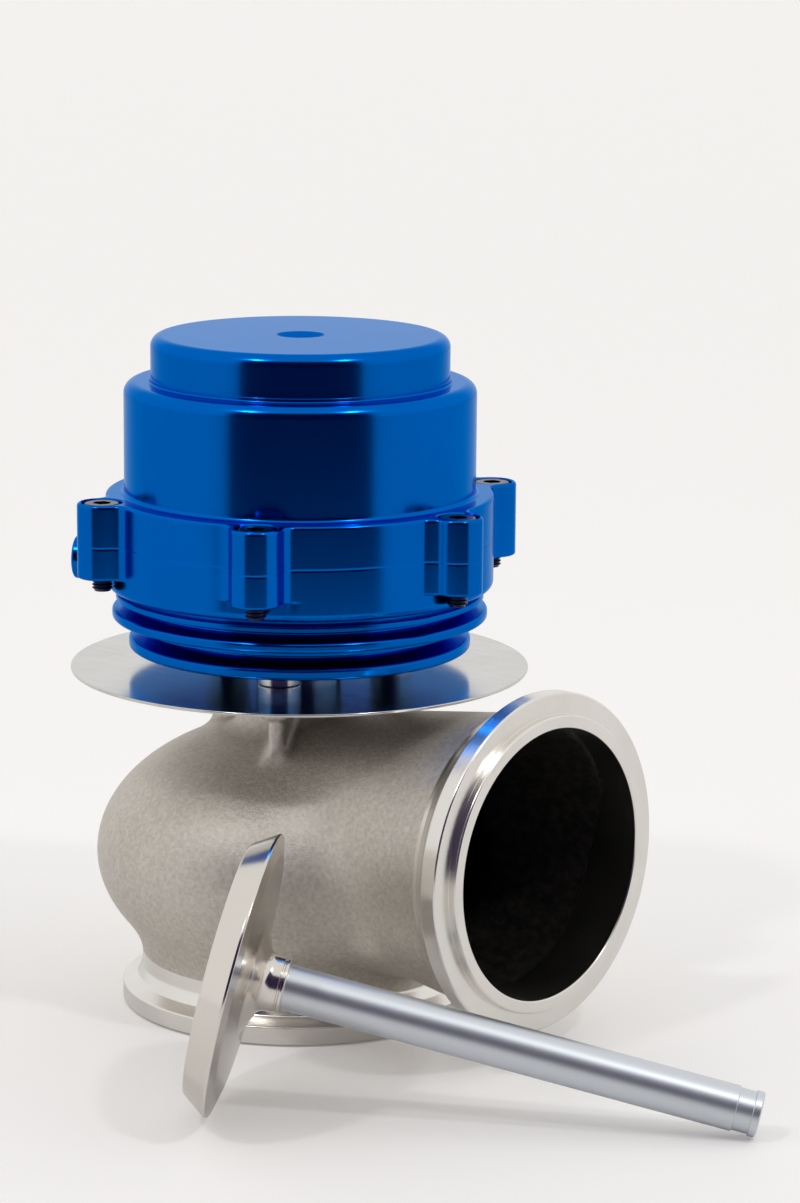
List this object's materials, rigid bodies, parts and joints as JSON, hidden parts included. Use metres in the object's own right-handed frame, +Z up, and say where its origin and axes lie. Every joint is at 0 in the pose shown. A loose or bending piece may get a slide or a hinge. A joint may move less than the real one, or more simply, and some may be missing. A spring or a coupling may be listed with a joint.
{
  "type": "external turbocharger wastegate",
  "caption": "Poppet wastegate: a cast body with V-band inlet and outlet, a heat shield, and a screwed diaphragm actuator with springs above it; a spare valve stands beside it.",
  "frame": {"origin": "centre of the inlet flange's face, on the valve's axis", "axes": "+Z up the valve stem towards the cap, +X along the outlet"},
  "size_m": [0.2046, 0.1577, 0.1623],
  "materials": {
    "casting": "blasted stainless casting",
    "blue_anodised": "bright blue anodised",
    "machined_aluminium": "turned",
    "machined_steel": "turned",
    "valve_steel": "ground",
    "shield_steel": "bright sheet",
    "screw_steel": "stainless",
    "spring_steel": "shot peened",
    "bronze": "bearing bronze",
    "diaphragm_rubber": "fabric reinforced",
    "seal_polymer": "filled polymer"
  },
  "bodies": {
    "wastegate_body": {"valve_body": "casting", "valve_seat": "machined_steel", "valve_guide": "bronze", "spare_valve": "valve_steel", "heat_shield": "shield_steel", "actuator_housing": "blue_anodised", "stem_seal": "seal_polymer", "seal_cover": "machined_steel", "diaphragm": "diaphragm_rubber", "outer_spring": "spring_steel", "middle_spring": "spring_steel", "inner_spring": "spring_steel", "top_cap": "blue_anodised", "side_port_plug": "machined_steel", "standoff_1": "machined_steel", "base_screw_1": "screw_steel", "standoff_2": "machined_steel", "base_screw_2": "screw_steel", "standoff_3": "machined_steel", "base_screw_3": "screw_steel", "cap_screw_1": "screw_steel", "cap_screw_2": "screw_steel", "cap_screw_3": "screw_steel", "cap_screw_4": "screw_steel", "cap_screw_5": "screw_steel", "cap_screw_6": "screw_steel"},
    "valve_train": {"valve": "valve_steel", "spring_plate": "machined_aluminium", "backing_plate": "machined_aluminium", "plate_nut": "machined_steel", "stem_keepers": "machined_steel", "keeper_clip": "spring_steel"}
  },
  "joints": [
    {"name": "valve_lift", "type": "slide", "parent": "wastegate_body", "child": "valve_train", "axis": [0, 0, 1], "range_m": [0, 0.014], "stiffness_N_per_m": 15000, "springref_m": -0.02, "deforming": ["outer_spring", "middle_spring", "inner_spring", "diaphragm"]}
  ]
}
